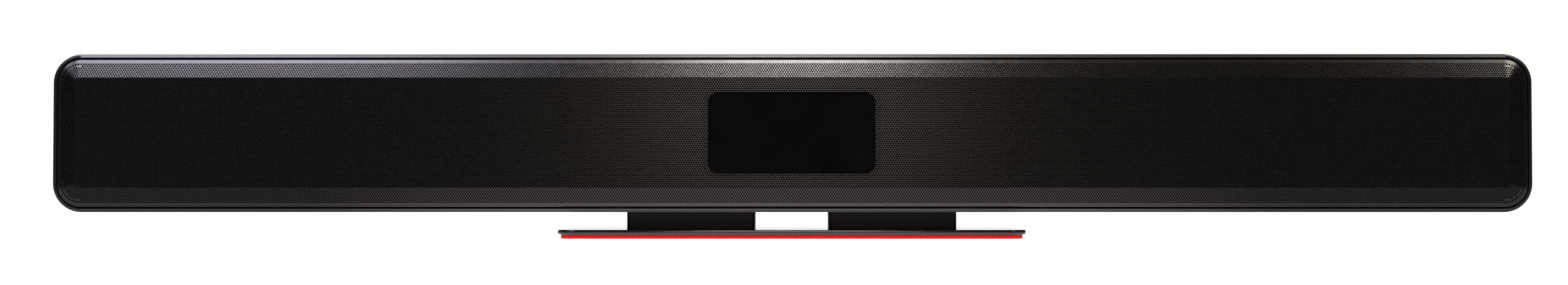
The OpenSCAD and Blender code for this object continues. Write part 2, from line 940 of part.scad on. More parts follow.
module driver_dust_cap(side) {
    cap_curve_r = (cap_r * cap_r + cap_rise * cap_rise) / (2 * cap_rise);
    cap_centre_s = cap_s - cap_rise + cap_curve_r;
    color("#101011")
        turned(side * driver_x)
            intersection() {
                translate([0, cap_s - cap_rise])
                    square([cap_r, cap_rise]);
                difference() {
                    translate([0, cap_centre_s])
                        circle(cap_curve_r);
                    translate([0, cap_centre_s])
                        circle(cap_curve_r - cap_t);
                }
            }
}

// A corrugated cloth disc that centres the voice coil
module driver_spider(side) {
    steps = 24;
    waves = 4;
    wave_h = 0.9;
    wave_r0 = former_r + 1;
    wave_r1 = spider_r - 2.2;
    crest = [for (i = [0 : steps]) [
        wave_r0 + (wave_r1 - wave_r0) * i / steps,
        spider_s + wave_h * sin(360 * waves * i / steps)
    ]];
    upper = concat([[former_r, spider_s]], crest, [[spider_r, spider_s]]);
    lower = [for (i = [len(upper) - 1 : -1 : 0]) upper[i] + [0, spider_t]];
    color("#b08d3c")
        turned(side * driver_x)
            polygon(concat(upper, lower));
}

module driver_voice_coil(side) {
    color("#b5651d")
        turned(side * driver_x) {
            translate([former_r - former_t, former_top])
                square([former_t, former_end - former_top]);
            translate([former_r - former_t / 2, coil_s])
                square([coil_r - former_r + former_t / 2, coil_len]);
        }
}

module driver_top_plate(side) {
    color("silver")
        turned(side * driver_x)
            translate([gap_r, motor_s])
                square([30 - gap_r, top_plate_t]);
}

module driver_magnet(side) {
    magnet_bore_r = 15;
    magnet_r = 32;
    color("#3d3d3f")
        turned(side * driver_x)
            translate([magnet_bore_r, motor_s + top_plate_t])
                square([magnet_r - magnet_bore_r, magnet_t]);
}

module driver_yoke(side) {
    vent_r = 3;
    back_s = motor_s + top_plate_t + magnet_t;
    color("silver")
        turned(side * driver_x) {
            translate([vent_r, motor_s])
                square([pole_r - vent_r, back_s - motor_s + 1]);
            translate([vent_r, back_s])
                square([30 - vent_r, back_plate_t]);
        }
}

// A stiff plate with a steel weight on its back, moved by the air in the box
module radiator_plate(side) {
    plate_thick = 2.5;
    weight_r = 14;
    weight_t = 5;
    color("#1c1c1e")
        turned(side * radiator_x) {
            square([cone_edge_r, plate_thick]);
            translate([0, plate_thick - 0.1])
                square([weight_r, weight_t]);
        }
}

// ---- Choice of parts ----

base_pad();
base_plate();
post(-1);  // left_post
post(1);  // right_post
stand_screws();
housing();
rear_cover();
rear_cover_screws();
threaded_inserts();
front_grille();
acoustic_cloth();
camera_window();
window_gasket();
front_baffle();
baffle_screws();
camera_shroud();
camera_bracket();
camera_board();
camera_barrel();
camera_lens();
sensor_board();
main_board();
main_board_chips();
network_port();
video_ports();
usb_ports();
power_jack();
reset_button();
port_panel();
amplifier_board();
amplifier_parts();
heat_sink();
board_screws();
microphone_board(-1);  // left_microphone_board
microphone_board(1);  // right_microphone_board
enclosure(-1);  // left_enclosure
enclosure(1);  // right_enclosure
speaker_leads();
driver_basket(-1);  // left_driver_basket
surround(-driver_x, -flange_t);  // left_driver_surround
driver_cone(-1);  // left_driver_cone
driver_dust_cap(-1);  // left_driver_dust_cap
driver_spider(-1);  // left_driver_spider
driver_voice_coil(-1);  // left_driver_voice_coil
driver_top_plate(-1);  // left_driver_top_plate
driver_magnet(-1);  // left_driver_magnet
driver_yoke(-1);  // left_driver_yoke
driver_basket(1);  // right_driver_basket
surround(driver_x, -flange_t);  // right_driver_surround
driver_cone(1);  // right_driver_cone
driver_dust_cap(1);  // right_driver_dust_cap
driver_spider(1);  // right_driver_spider
driver_voice_coil(1);  // right_driver_voice_coil
driver_top_plate(1);  // right_driver_top_plate
driver_magnet(1);  // right_driver_magnet
driver_yoke(1);  // right_driver_yoke
radiator_plate(-1);  // left_radiator_plate
surround(-radiator_x, 0);  // left_radiator_surround
radiator_plate(1);  // right_radiator_plate
surround(radiator_x, 0);  // right_radiator_surround
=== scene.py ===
"""The looks of a meeting-room soundbar on a low stand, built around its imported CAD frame.

All lengths are in metres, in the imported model's frame: +X along the bar, -Y out of its front, +Z up.
"""

import json
import math

import bpy
import numpy as np
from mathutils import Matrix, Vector
from mathutils.geometry import delaunay_2d_cdt


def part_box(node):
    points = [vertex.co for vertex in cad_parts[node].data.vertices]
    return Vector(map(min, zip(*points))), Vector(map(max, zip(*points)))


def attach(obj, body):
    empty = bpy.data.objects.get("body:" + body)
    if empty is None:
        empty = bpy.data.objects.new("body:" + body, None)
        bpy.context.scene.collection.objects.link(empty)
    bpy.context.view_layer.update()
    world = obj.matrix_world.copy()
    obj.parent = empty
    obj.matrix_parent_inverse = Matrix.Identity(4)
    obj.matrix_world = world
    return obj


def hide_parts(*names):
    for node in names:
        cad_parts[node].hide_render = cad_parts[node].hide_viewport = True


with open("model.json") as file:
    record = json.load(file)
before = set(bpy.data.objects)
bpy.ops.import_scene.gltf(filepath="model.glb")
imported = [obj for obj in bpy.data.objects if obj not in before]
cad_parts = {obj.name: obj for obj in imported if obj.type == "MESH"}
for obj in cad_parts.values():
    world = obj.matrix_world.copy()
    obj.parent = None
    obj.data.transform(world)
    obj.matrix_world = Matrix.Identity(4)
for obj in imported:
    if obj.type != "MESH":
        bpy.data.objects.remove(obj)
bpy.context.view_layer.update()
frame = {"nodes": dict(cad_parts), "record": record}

MM = 0.001
# Places closer together than this count as one
TINY = 0.01 * MM
scene = bpy.context.scene


# ---- Sizes, read from the frame ----


def node_points(node):
    """The vertices of a CAD node, as an array of x, y, z."""
    return np.array([v.co for v in frame["nodes"][node].data.vertices], float)


grille_low, grille_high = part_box("front_grille")
FRONT = grille_low.y
RETURN_END = grille_high.y
HALF_W = (grille_high.x - grille_low.x) / 2
HALF_H = (grille_high.z - grille_low.z) / 2
MID_Z = (grille_high.z + grille_low.z) / 2

grille_points = node_points("front_grille") - [0, 0, MID_Z]
face_points = grille_points[grille_points[:, 1] < FRONT + TINY]
FLAT_W = np.abs(face_points[:, 0]).max()
FLAT_H = np.abs(face_points[:, 2]).max()
side_points = grille_points[np.abs(grille_points[:, 0]) > HALF_W - TINY]
top_points = grille_points[grille_points[:, 2] > HALF_H - TINY]
FOLD = side_points[:, 1].min()
CORNER_R = HALF_W - np.abs(top_points[:, 0]).max()
BEVEL_W = HALF_W - FLAT_W
SLOPE = (FOLD - FRONT) / BEVEL_W
BEVEL_ANGLE = math.atan(SLOPE)


def window_cut(points):
    """Half width, half height and corner radius of the window in a flat face with these corner points."""
    around = points[np.abs(points[:, 0]) < FLAT_W / 2]
    half_w, half_h = np.abs(around[:, [0, 2]]).max(axis=0)
    top = around[around[:, 2] > half_h - TINY]
    return half_w, half_h, half_w - np.abs(top[:, 0]).max()


WINDOW_W, WINDOW_H, WINDOW_R = window_cut(face_points)

# The perforated sheet: round holes on a lattice of equilateral triangles
SHEET = 1.0 * MM
PITCH = 1.5 * MM
ROW_PITCH = PITCH * math.sqrt(3) / 2
CELL_SIDES = 6
HOLE_SIDES = 8
PANEL_COUNT = 10
# More than the columns of any row, so that a row and a column make one number
ROW_STRIDE = 100_000
# An octagon with this corner radius has the area of a round 1.25 mm hole
HOLE_R = 0.66 * MM
BORDER = 2.5 * MM
# The row of holes round each corner: its spacing, and the room that the lattice leaves it
RING_PITCH = 1.17 * PITCH
RING_GAP = 0.6 * PITCH
RING_CLEARANCE = 0.95 * PITCH
# Cells farther than this from the holes of a corner row, or from the window, are plain
PLAIN_TO_RING = 1.4 * PITCH
PLAIN_TO_WINDOW = 0.8 * PITCH

# Half the width of the round where the flat turns into the bevel
FOLD_ROUND = 0.5 * MM
# The bend at the outer edge, and how far in from that edge the loops of its mesh begin
BEND_R = 0.5 * MM
BEND_STEPS = 5
BEND_INSET = 1.2 * MM
# Width of bevel that the first loops cover
BEND_LEAD = 0.05 * MM
# Steps in each round corner
ARC_STEPS = 20
# An edge whose middle is this near to an outline lies on it
ON_OUTLINE = 0.02 * MM

CLOTH = 0.4 * MM


# ---- Camera ----

EYE_DISTANCE = 1.27
EYE_HEIGHT = 30.7 * MM
AIM_LEFT = 4.7 * MM
AIM_BELOW_MIDDLE = 5.9 * MM
VIEW_ANGLE = math.radians(41.456)


def make_camera():
    """A camera low in front of the bar that looks slightly up at it."""
    data = bpy.data.cameras.new("camera")
    data.angle = VIEW_ANGLE
    data.clip_start = 0.01
    data.clip_end = 50
    camera = bpy.data.objects.new("camera", data)
    scene.collection.objects.link(camera)
    camera.location = (0, FRONT - EYE_DISTANCE, EYE_HEIGHT)
    aim = Vector((-AIM_LEFT, FRONT, MID_Z - AIM_BELOW_MIDDLE))
    camera.rotation_euler = (aim - camera.location).to_track_quat("-Z", "Y").to_euler()
    scene.camera = camera


make_camera()


# ---- Materials ----


# Distance between the bands of a wave texture whose scale is 1
WAVE_PERIOD = 0.31


def shade(colour, factor):
    """A colour, made lighter or darker by that factor."""
    return tuple(factor * c for c in colour)


class Finish:
    """A node material under construction, with short calls for the nodes that the finishes share."""

    def __init__(self, name):
        self.material = bpy.data.materials.new(name)
        self.material.use_nodes = True
        self.tree = self.material.node_tree
        self.shader = self.tree.nodes["Principled BSDF"]
        coordinates = self.tree.nodes.new("ShaderNodeTexCoord")
        self.place = coordinates.outputs["Object"]

    def set(self, **values):
        """Sets the shader's own sockets, such as base_color or coat_weight."""
        for key, value in values.items():
            socket = self.shader.inputs[key.replace("_", " ").title().replace("Ior", "IOR")]
            socket.default_value = (*value, 1) if isinstance(value, tuple) else value
        return self

    def stretched(self, scale):
        """The place, scaled along each axis, as brushed and woven finishes need."""
        mapping = self.tree.nodes.new("ShaderNodeMapping")
        mapping.inputs["Scale"].default_value = scale
        self.tree.links.new(self.place, mapping.inputs["Vector"])
        return mapping.outputs["Vector"]

    def noise(self, size, detail=2.0, roughness=0.5, place=None):
        """Noise whose lumps are about size metres across."""
        node = self.tree.nodes.new("ShaderNodeTexNoise")
        node.inputs["Scale"].default_value = 1 / size
        node.inputs["Detail"].default_value = detail
        node.inputs["Roughness"].default_value = roughness
        self.tree.links.new(place or self.place, node.inputs["Vector"])
        return node.outputs["Fac"]

    def ramp(self, source, low, high, start, end):
        """A value that goes from start, where the source is low, to end, where it is high."""
        node = self.tree.nodes.new("ShaderNodeMapRange")
        node.inputs["From Min"].default_value = low
        node.inputs["From Max"].default_value = high
        node.inputs["To Min"].default_value = start
        node.inputs["To Max"].default_value = end
        self.tree.links.new(source, node.inputs["Value"])
        return node.outputs["Result"]

    def mottle(self, source, start=0, end=1):
        """The usual range of a noise, taken to start and end."""
        return self.ramp(source, 0.3, 0.7, start, end)

    def colours(self, factor, first, second):
        """Base colour: first where the factor is 0, second where it is 1."""
        node = self.tree.nodes.new("ShaderNodeMix")
        node.data_type = "RGBA"
        node.inputs["A"].default_value = (*first, 1)
        node.inputs["B"].default_value = (*second, 1)
        self.tree.links.new(factor, node.inputs["Factor"])
        self.tree.links.new(node.outputs["Result"], self.shader.inputs["Base Color"])
        return self

    def roughness(self, value):
        """Roughness that changes from place to place."""
        self.tree.links.new(value, self.shader.inputs["Roughness"])
        return self

    def bump(self, height, depth):
        """Bumps depth metres high, added to the bumps made before."""
        node = self.tree.nodes.new("ShaderNodeBump")
        node.inputs["Distance"].default_value = depth
        before = self.shader.inputs["Normal"]
        if before.is_linked:
            self.tree.links.new(before.links[0].from_socket, node.inputs["Normal"])
        self.tree.links.new(height, node.inputs["Height"])
        self.tree.links.new(node.outputs["Normal"], before)
        return self


def powder_coat(name, colour, fleck, roughness, grain=0.22 * MM, level=0.5):
    """Satin powder coat: orange-peel grain, and fine metallic flecks that are lighter than the rest."""
    finish = Finish(name).set(specular_ior_level=level)
    specks = finish.ramp(finish.noise(0.12 * MM, detail=0), 0.62, 0.74, 0, 1)
    finish.colours(specks, colour, fleck)
    finish.roughness(finish.ramp(finish.noise(6 * MM), 0.35, 0.65, roughness - 0.01, roughness + 0.01))
    finish.bump(finish.noise(grain, detail=1), 0.003 * MM)
    return finish.material


def moulded(name, colour, roughness, grain=0.5 * MM, depth=0.02 * MM):
    """Moulded plastic with a fine eroded texture and slight changes of gloss."""
    finish = Finish(name)
    mottle = finish.mottle(finish.noise(14 * MM))
    finish.colours(mottle, shade(colour, 0.85), shade(colour, 1.15))
    finish.roughness(finish.mottle(finish.noise(4 * MM), roughness - 0.05, roughness + 0.05))
    finish.bump(finish.noise(grain, detail=3), depth)
    return finish.material


def rubber(name, colour, worn, level=0.35):
    """Matt rubber: a pebbled skin with slightly dusty, worn patches."""
    finish = Finish(name).set(specular_ior_level=level)
    finish.colours(finish.ramp(finish.noise(2 * MM, detail=4), 0.3, 0.72, 0, 1), colour, worn)
    finish.roughness(finish.mottle(finish.noise(8 * MM), 0.5, 0.68))
    finish.bump(finish.noise(0.35 * MM, detail=2), 0.03 * MM)
    return finish.material


def bare_metal(name, colour, roughness, streaks=(1, 60, 60)):
    """Plated or brushed metal with fine streaks along X."""
    finish = Finish(name).set(metallic=1.0)
    lines = finish.noise(3 * MM, detail=3, place=finish.stretched(streaks))
    finish.colours(finish.mottle(lines), shade(colour, 0.86), colour)
    finish.roughness(finish.mottle(lines, roughness - 0.06, roughness + 0.08))
    finish.bump(lines, 0.004 * MM)
    return finish.material


def woven(name, colour, thread, size):
    """Cloth: two crossed sets of threads, size metres apart."""
    finish = Finish(name).set(specular_ior_level=0.2, sheen_weight=0.3, sheen_roughness=0.6)
    fields = []
    for direction in ("X", "Z"):
        wave = finish.tree.nodes.new("ShaderNodeTexWave")
        wave.bands_direction = direction
        wave.inputs["Scale"].default_value = WAVE_PERIOD / size
        wave.inputs["Distortion"].default_value = 0.6
        finish.tree.links.new(finish.place, wave.inputs["Vector"])
        fields.append(wave.outputs["Fac"])
    top = finish.tree.nodes.new("ShaderNodeMath")
    top.operation = "MAXIMUM"
    for socket, field in zip(top.inputs, fields):
        finish.tree.links.new(field, socket)
    threads = top.outputs["Value"]
    finish.colours(threads, colour, thread)
    finish.set(roughness=0.85).bump(threads, 0.12 * MM)
    return finish.material


def circuit_board(name):
    """Green solder mask over copper tracks, which show as slightly lighter lines."""
    finish = Finish(name).set(coat_weight=0.4, coat_roughness=0.15)
    brick = finish.tree.nodes.new("ShaderNodeTexBrick")
    brick.inputs["Scale"].default_value = 90
    brick.inputs["Mortar Size"].default_value = 0.05
    brick.inputs["Color1"].default_value = (0, 0, 0, 1)
    brick.inputs["Color2"].default_value = (0, 0, 0, 1)
    brick.inputs["Mortar"].default_value = (1, 1, 1, 1)
    finish.tree.links.new(finish.place, brick.inputs["Vector"])
    finish.colours(brick.outputs["Color"], (0.008, 0.055, 0.022), (0.02, 0.13, 0.05))
    finish.roughness(finish.mottle(finish.noise(5 * MM), 0.3, 0.42))
    finish.bump(brick.outputs["Color"], 0.03 * MM)
    return finish.material


def dark_window(name):
    """Black glass with an anti-reflective coating, and very faint waviness."""
    finish = Finish(name).set(specular_ior_level=0.006)
    haze = finish.mottle(finish.noise(25 * MM))
    finish.colours(haze, (0.0010, 0.0010, 0.0011), (0.0020, 0.0020, 0.0022))
    finish.roughness(finish.mottle(finish.noise(12 * MM), 0.04, 0.09))
    return finish.material


def pressed_paper(name, colour):
    """Paper pulp of a loudspeaker cone: short fibres in every direction."""
    finish = Finish(name).set(specular_ior_level=0.25)
    fibres = finish.noise(1.1 * MM, detail=5, roughness=0.7)
    finish.colours(finish.ramp(fibres, 0.35, 0.7, 0, 1), colour, shade(colour, 2.2))
    finish.roughness(finish.mottle(fibres, 0.7, 0.9))
    finish.bump(fibres, 0.08 * MM)
    return finish.material


FINISHES = {
    "pad_rubber": rubber("pad_rubber", (0.48, 0.006, 0.006), (0.67, 0.014, 0.013), level=0.1),
    "stand_steel": powder_coat("stand_steel", (0.006, 0.006, 0.0065), (0.012, 0.012, 0.013), 0.08,
                               grain=0.6 * MM),
    "post_paint": powder_coat("post_paint", (0.004, 0.004, 0.004), (0.009, 0.009, 0.009), 0.42,
                              level=0.15),
    "housing_paint": powder_coat("housing_paint", (0.0050, 0.0048, 0.0050), (0.022, 0.021, 0.022), 0.30,
                                 level=0.65),
    "grille_paint": powder_coat("grille_paint", (0.0044, 0.0042, 0.0043), (0.018, 0.017, 0.0175), 0.205),
    "punched_paint": powder_coat("punched_paint", (0.0046, 0.0044, 0.0045), (0.019, 0.018, 0.0185), 0.22,
                                 level=0.6),
    "cover_plastic": moulded("cover_plastic", (0.012, 0.012, 0.013), 0.55),
    "inner_plastic": moulded("inner_plastic", (0.010, 0.010, 0.011), 0.6),
    "cloth": woven("cloth", (0.0012, 0.0012, 0.0012), (0.0040, 0.0040, 0.0040), 0.35 * MM),
    "dark_glass": dark_window("dark_glass"),
    "foam": rubber("foam", (0.006, 0.006, 0.006), (0.014, 0.014, 0.014)),
    "black_screw": bare_metal("black_screw", (0.05, 0.05, 0.052), 0.38),
    "plain_screw": bare_metal("plain_screw", (0.62, 0.62, 0.64), 0.28),
    "brass": bare_metal("brass", (0.72, 0.52, 0.22), 0.3),
    "lens_black": moulded("lens_black", (0.003, 0.003, 0.003), 0.7),
    "lens_glass": dark_window("lens_glass"),
    "circuit_board": circuit_board("circuit_board"),
    "component": moulded("component", (0.010, 0.010, 0.010), 0.5, 0.25 * MM, 0.01 * MM),
    "port_metal": bare_metal("port_metal", (0.60, 0.60, 0.62), 0.3),
    "bracket_steel": bare_metal("bracket_steel", (0.55, 0.55, 0.57), 0.34),
    "panel_steel": powder_coat("panel_steel", (0.016, 0.016, 0.017), (0.05, 0.05, 0.053), 0.45),
    "button_plastic": moulded("button_plastic", (0.06, 0.06, 0.063), 0.45),
    "sink_aluminium": bare_metal("sink_aluminium", (0.42, 0.42, 0.44), 0.42),
    "lead": rubber("lead", (0.25, 0.012, 0.012), (0.32, 0.03, 0.03)),
    "basket_steel": powder_coat("basket_steel", (0.016, 0.016, 0.017), (0.04, 0.04, 0.042), 0.4),
    "surround_rubber": rubber("surround_rubber", (0.006, 0.006, 0.006), (0.012, 0.012, 0.012)),
    "cone_paper": pressed_paper("cone_paper", (0.008, 0.008, 0.009)),
    "spider_cloth": woven("spider_cloth", (0.20, 0.12, 0.035), (0.50, 0.34, 0.12), 0.6 * MM),
    "coil_copper": bare_metal("coil_copper", (0.62, 0.28, 0.14), 0.3, (60, 1, 60)),
    "ferrite": moulded("ferrite", (0.030, 0.030, 0.032), 0.5, 0.8 * MM, 0.05 * MM),
    "motor_steel": bare_metal("motor_steel", (0.52, 0.52, 0.54), 0.32),
}


def dress(piece, slot):
    """Gives a piece the finish of a material slot."""
    piece.data.materials.clear()
    piece.data.materials.append(FINISHES[slot])


def slots_by_node():
    """The material slot of each CAD node, as the record says."""
    return {part["node"]: part["material_slot"] for part in frame["record"]["subparts"]}


for node_name, slot_name in slots_by_node().items():
    dress(frame["nodes"][node_name], slot_name)


# ---- The pressed sheet's form: places are x and z, from the middle of the grille ----


def rounded_distance(x, z, half_w, half_h, r):
    """Distance outside a rectangle with round corners; negative inside it."""
    qx = np.abs(x) - (half_w - r)
    qz = np.abs(z) - (half_h - r)
    outside = np.hypot(np.maximum(qx, 0), np.maximum(qz, 0))
    return outside + np.minimum(np.maximum(qx, qz), 0) - r


def fold_in(along, flat_half):
    """Where a point of the flat sheet lies, seen from the front, once its borders are bent back."""
    beyond = np.maximum(np.abs(along) - flat_half, 0)
    return np.sign(along) * (np.minimum(np.abs(along), flat_half) + beyond * math.cos(BEVEL_ANGLE))


def unfold(seen, flat_half):
    """The opposite of fold_in."""
    beyond = np.maximum(np.abs(seen) - flat_half, 0)
    return np.sign(seen) * (np.minimum(np.abs(seen), flat_half) + beyond / math.cos(BEVEL_ANGLE))


def beyond_bend(places):
    """Distance outside the line where the border begins to bend; negative inside it."""
    return rounded_distance(*places.T, HALF_W - BEND_INSET, HALF_H - BEND_INSET, CORNER_R - BEND_INSET)


def beyond_window(places):
    """Distance outside the window's outline; negative inside it."""
    return rounded_distance(*places.T, WINDOW_W, WINDOW_H, WINDOW_R)


def sheet_depth(x, z):
    """Depth of the sheet's outer face, with a small round where the flat turns into the bevel."""
    beyond = rounded_distance(x, z, FLAT_W, FLAT_H, CORNER_R - BEVEL_W)
    eased = (np.clip(beyond, -FOLD_ROUND, FOLD_ROUND) + FOLD_ROUND) ** 2 / (4 * FOLD_ROUND)
    return FRONT + SLOPE * (eased + np.maximum(beyond - FOLD_ROUND, 0))


def on_sheet(places, behind):
    """Points of the sheet at these places, that far behind its outer face, as x, y, z in the frame."""
    x, z = places[:, 0], places[:, 1]
    step = 0.02 * MM
    across = (sheet_depth(x + step, z) - sheet_depth(x - step, z)) / (2 * step)
    upward = (sheet_depth(x, z + step) - sheet_depth(x, z - step)) / (2 * step)
    normal = np.column_stack([across, -np.ones(len(x)), upward])
    normal /= np.linalg.norm(normal, axis=1)[:, None]
    return np.column_stack([x, sheet_depth(x, z), z + MID_Z]) - behind * normal


def outline(half_w, half_h, r):
    """Corners of a rounded rectangle, anticlockwise as seen from the front."""
    places = []
    for quarter, (side_x, side_z) in enumerate([(1, 1), (-1, 1), (-1, -1), (1, -1)]):
        for i in range(ARC_STEPS + 1):
            angle = math.radians(90 * (quarter + i / ARC_STEPS))
            x = side_x * (half_w - r) + r * math.cos(angle)
            places.append((x, side_z * (half_h - r) + r * math.sin(angle)))
    return np.array(places)


def inset_outline(inset):
    """The grille's outline, moved inwards by that much."""
    return outline(HALF_W - inset, HALF_H - inset, CORNER_R - inset)


# ---- Mesh helpers ----


def new_piece(name, points, faces, slot, finish=None):
    """A mesh piece of the bar, from points and a list of face arrays with three or four corners a row."""
    mesh = bpy.data.meshes.new(name)
    mesh.vertices.add(len(points))
    mesh.vertices.foreach_set("co", np.asarray(points, np.float32).ravel())
    corners = np.concatenate([f.ravel() for f in faces]).astype(np.int32)
    sizes = np.concatenate([np.full(len(f), f.shape[1], np.int32) for f in faces])
    mesh.loops.add(len(corners))
    mesh.loops.foreach_set("vertex_index", corners)
    mesh.polygons.add(len(sizes))
    starts = np.concatenate([[0], np.cumsum(sizes)[:-1]]).astype(np.int32)
    mesh.polygons.foreach_set("loop_start", starts)
    mesh.update()
    mesh.validate()
    mesh.polygons.foreach_set("use_smooth", np.ones(len(mesh.polygons), bool))
    piece = bpy.data.objects.new(name, mesh)
    scene.collection.objects.link(piece)
    dress(piece, finish or slot)
    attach(piece, "bar")
    return piece


def open_edges(triangles):
    """The edges that only one triangle has, each in that triangle's direction."""
    edges = np.concatenate([triangles[:, [0, 1]], triangles[:, [1, 2]], triangles[:, [2, 0]]])
    count = int(edges.max()) + 1
    there = edges[:, 0] * count + edges[:, 1]
    back = edges[:, 1] * count + edges[:, 0]
    return edges[~np.isin(there, back)]


def walls(edges, offset):
    """Quads that join the open edges of a front face to those of its back face."""
    a, b = edges[:, 0], edges[:, 1]
    return np.column_stack([b, a, a + offset, b + offset])


def thick_sheet(places, triangles, cut_edges, rolled_edges=(), behind=0, thickness=SHEET):
    """Points and faces of a sheet: its two faces, and walls along its edges.

    The walls at cut edges have corners of their own, so that these edges look sharp. Rolled edges share
    their corners with the faces, so that light catches on them.
    """
    front = on_sheet(places, behind)
    back = on_sheet(places, behind + thickness)
    cut_corners, index = np.unique(cut_edges, return_inverse=True)
    points = np.concatenate([front, back, front[cut_corners], back[cut_corners]])
    faces = [triangles, triangles[:, ::-1] + len(places)]
    faces.append(walls(index.reshape(-1, 2) + 2 * len(places), len(cut_corners)))
    if len(rolled_edges):
        faces.append(walls(rolled_edges, len(places)))
    return points, faces


# ---- Perforated grille ----


def polygon_corners(count, r):
    """Corners of a regular polygon with an upright side on its right, anticlockwise."""
    angles = 2 * math.pi * (np.arange(count) + 0.5) / count
    return r * np.column_stack([np.cos(angles), np.sin(angles)])


CELL_CORNERS = polygon_corners(CELL_SIDES, PITCH / math.sqrt(3))
HOLE_CORNERS = polygon_corners(HOLE_SIDES, HOLE_R)


def shifted(row):
    """How many columns a row is shifted by."""
    return 0.5 * (row % 2)


def lattice():
    """Hole centres on the flat sheet, with the row and column of each."""
    developed_w = unfold(HALF_W - BORDER, FLAT_W)
    developed_h = unfold(HALF_H - BORDER, FLAT_H)
    rows = int(developed_h / ROW_PITCH)
    columns = int(developed_w / PITCH) + 1
    grid = np.meshgrid(np.arange(-rows, rows + 1), np.arange(-columns, columns + 1), indexing="ij")
    row, column = grid[0].ravel(), grid[1].ravel()
    centre = np.column_stack([PITCH * (column + shifted(row)), ROW_PITCH * row])
    inside = np.abs(centre[:, 0]) <= developed_w
    return centre[inside], row[inside], column[inside]


def seen_from_front(sheet_places):
    """Places on the bent sheet of places on the flat one."""
    return np.stack([
        fold_in(sheet_places[..., 0], FLAT_W),
        fold_in(sheet_places[..., 1], FLAT_H),
    ], axis=-1)


def corner_ring(first, last):
    """Evenly spaced holes round the top right corner, between two lattice holes that are kept."""
    inset_r = CORNER_R - (HALF_H - first[1])
    pivot = np.array([HALF_W - CORNER_R, HALF_H - CORNER_R])
    arc = inset_r * math.pi / 2
    run_in = pivot[0] - first[0]
    run_out = pivot[1] - last[1]
    length = run_in + arc + run_out
    count = round(length / RING_PITCH)
    ring = []
    for i in range(1, count):
        along = length * i / count - run_in
        angle = math.pi / 2 - min(max(along / inset_r, 0), math.pi / 2)
        place = pivot + inset_r * np.array([math.cos(angle), math.sin(angle)])
        place[0] += min(along, 0)
        place[1] -= max(along - arc, 0)
        ring.append(place)
    return np.array(ring)


def nearest_distance(places, targets):
    """Distance from each place to the nearest target."""
    return np.min(np.hypot(*(places[:, None, :] - targets[None, :, :]).transpose(2, 0, 1)), axis=1)


def sort_holes():
    """Sorts the lattice into plain cells and holes near a corner or the window.

    Returns the centres, rows and columns of the plain cells, and the corners of the other holes as they
    are seen from the front.
    """
    centre, row, column = lattice()
    seen = seen_from_front(centre)
    top = row.max()
    on_top = seen[(row == top) & (np.abs(seen[:, 0]) < HALF_W - CORNER_R - RING_GAP)]
    first = on_top[np.argmax(on_top[:, 0])]
    on_side = seen[(seen[:, 0] > seen[:, 0].max() - TINY) & (seen[:, 1] < HALF_H - CORNER_R)]
    last = on_side[np.argmax(on_side[:, 1])]
    quarter = corner_ring(first, last)
    ring = np.concatenate([quarter * [sx, sz] for sx in (1, -1) for sz in (1, -1)])

    inset = -rounded_distance(*seen.T, HALF_W, HALF_H, CORNER_R)
    in_corner = (np.abs(seen[:, 0]) > first[0] + TINY) & (np.abs(seen[:, 1]) > last[1] + TINY)
    ring_inset = HALF_H - first[1]
    to_ring = nearest_distance(seen, ring)
    kept = ~in_corner | ((inset > ring_inset + RING_GAP) & (to_ring > RING_CLEARANCE))
    to_window = beyond_window(seen)
    kept &= to_window > -HOLE_R
    plain = kept & (to_ring > PLAIN_TO_RING) & (to_window > PLAIN_TO_WINDOW)
    special = kept & ~plain
    lattice_holes = seen_from_front(centre[special][:, None, :] + HOLE_CORNERS)
    ring_holes = ring[:, None, :] + HOLE_CORNERS
    return centre[plain], row[plain], column[plain], np.concatenate([lattice_holes, ring_holes])


def cell_triangles():
    """Triangles between a hole's corners (0 and up) and its cell's corners (HOLE_SIDES and up)."""
    hole_angle = (np.arange(HOLE_SIDES + 1) + 0.5) / HOLE_SIDES
    cell_angle = (np.arange(CELL_SIDES + 1) + 0.5) / CELL_SIDES
    triangles = []
    h = c = 0
    while h < HOLE_SIDES or c < CELL_SIDES:
        here = (h % HOLE_SIDES, HOLE_SIDES + c % CELL_SIDES)
        if c == CELL_SIDES or (h < HOLE_SIDES and hole_angle[h + 1] <= cell_angle[c + 1]):
            h += 1
            triangles.append((here[0], here[1], h % HOLE_SIDES))
        else:
            c += 1
            triangles.append((here[0], here[1], HOLE_SIDES + c % CELL_SIDES))
    return np.array(triangles)


def merged(places):
    """Places with those that coincide made one, and the index of each given place among them."""
    key = np.round(places / TINY).astype(np.int64)
    _, first, index = np.unique(key, axis=0, return_index=True, return_inverse=True)
    return places[first], index


def plain_cells(centre):
    """Places and triangles of the cells round these hole centres, and the number of hole corners."""
    hole = (centre[:, None, :] + HOLE_CORNERS).reshape(-1, 2)
    cell, index = merged((centre[:, None, :] + CELL_CORNERS).reshape(-1, 2))
    corner = np.column_stack([
        np.arange(len(hole)).reshape(-1, HOLE_SIDES),
        index.reshape(-1, CELL_SIDES) + len(hole),
    ])
    triangles = corner[:, cell_triangles()].reshape(-1, 3)
    return seen_from_front(np.concatenate([hole, cell])), triangles, len(hole)


def perforated_panels(centre, column):
    """The plain cells, as panels side by side."""
    share = (column - column.min()) * PANEL_COUNT // (column.max() - column.min() + 1)
    for i in range(PANEL_COUNT):
        places, triangles, _ = plain_cells(centre[share == i])
        points, faces = thick_sheet(places, triangles, open_edges(triangles))
        yield new_piece(f"grille_panel_{i + 1}", points, faces, "grille_paint", finish="punched_paint")


def loop_edges(first, count):
    """Edges of a closed loop of count corners, from corner first on."""
    return [(first + i, first + (i + 1) % count) for i in range(count)]


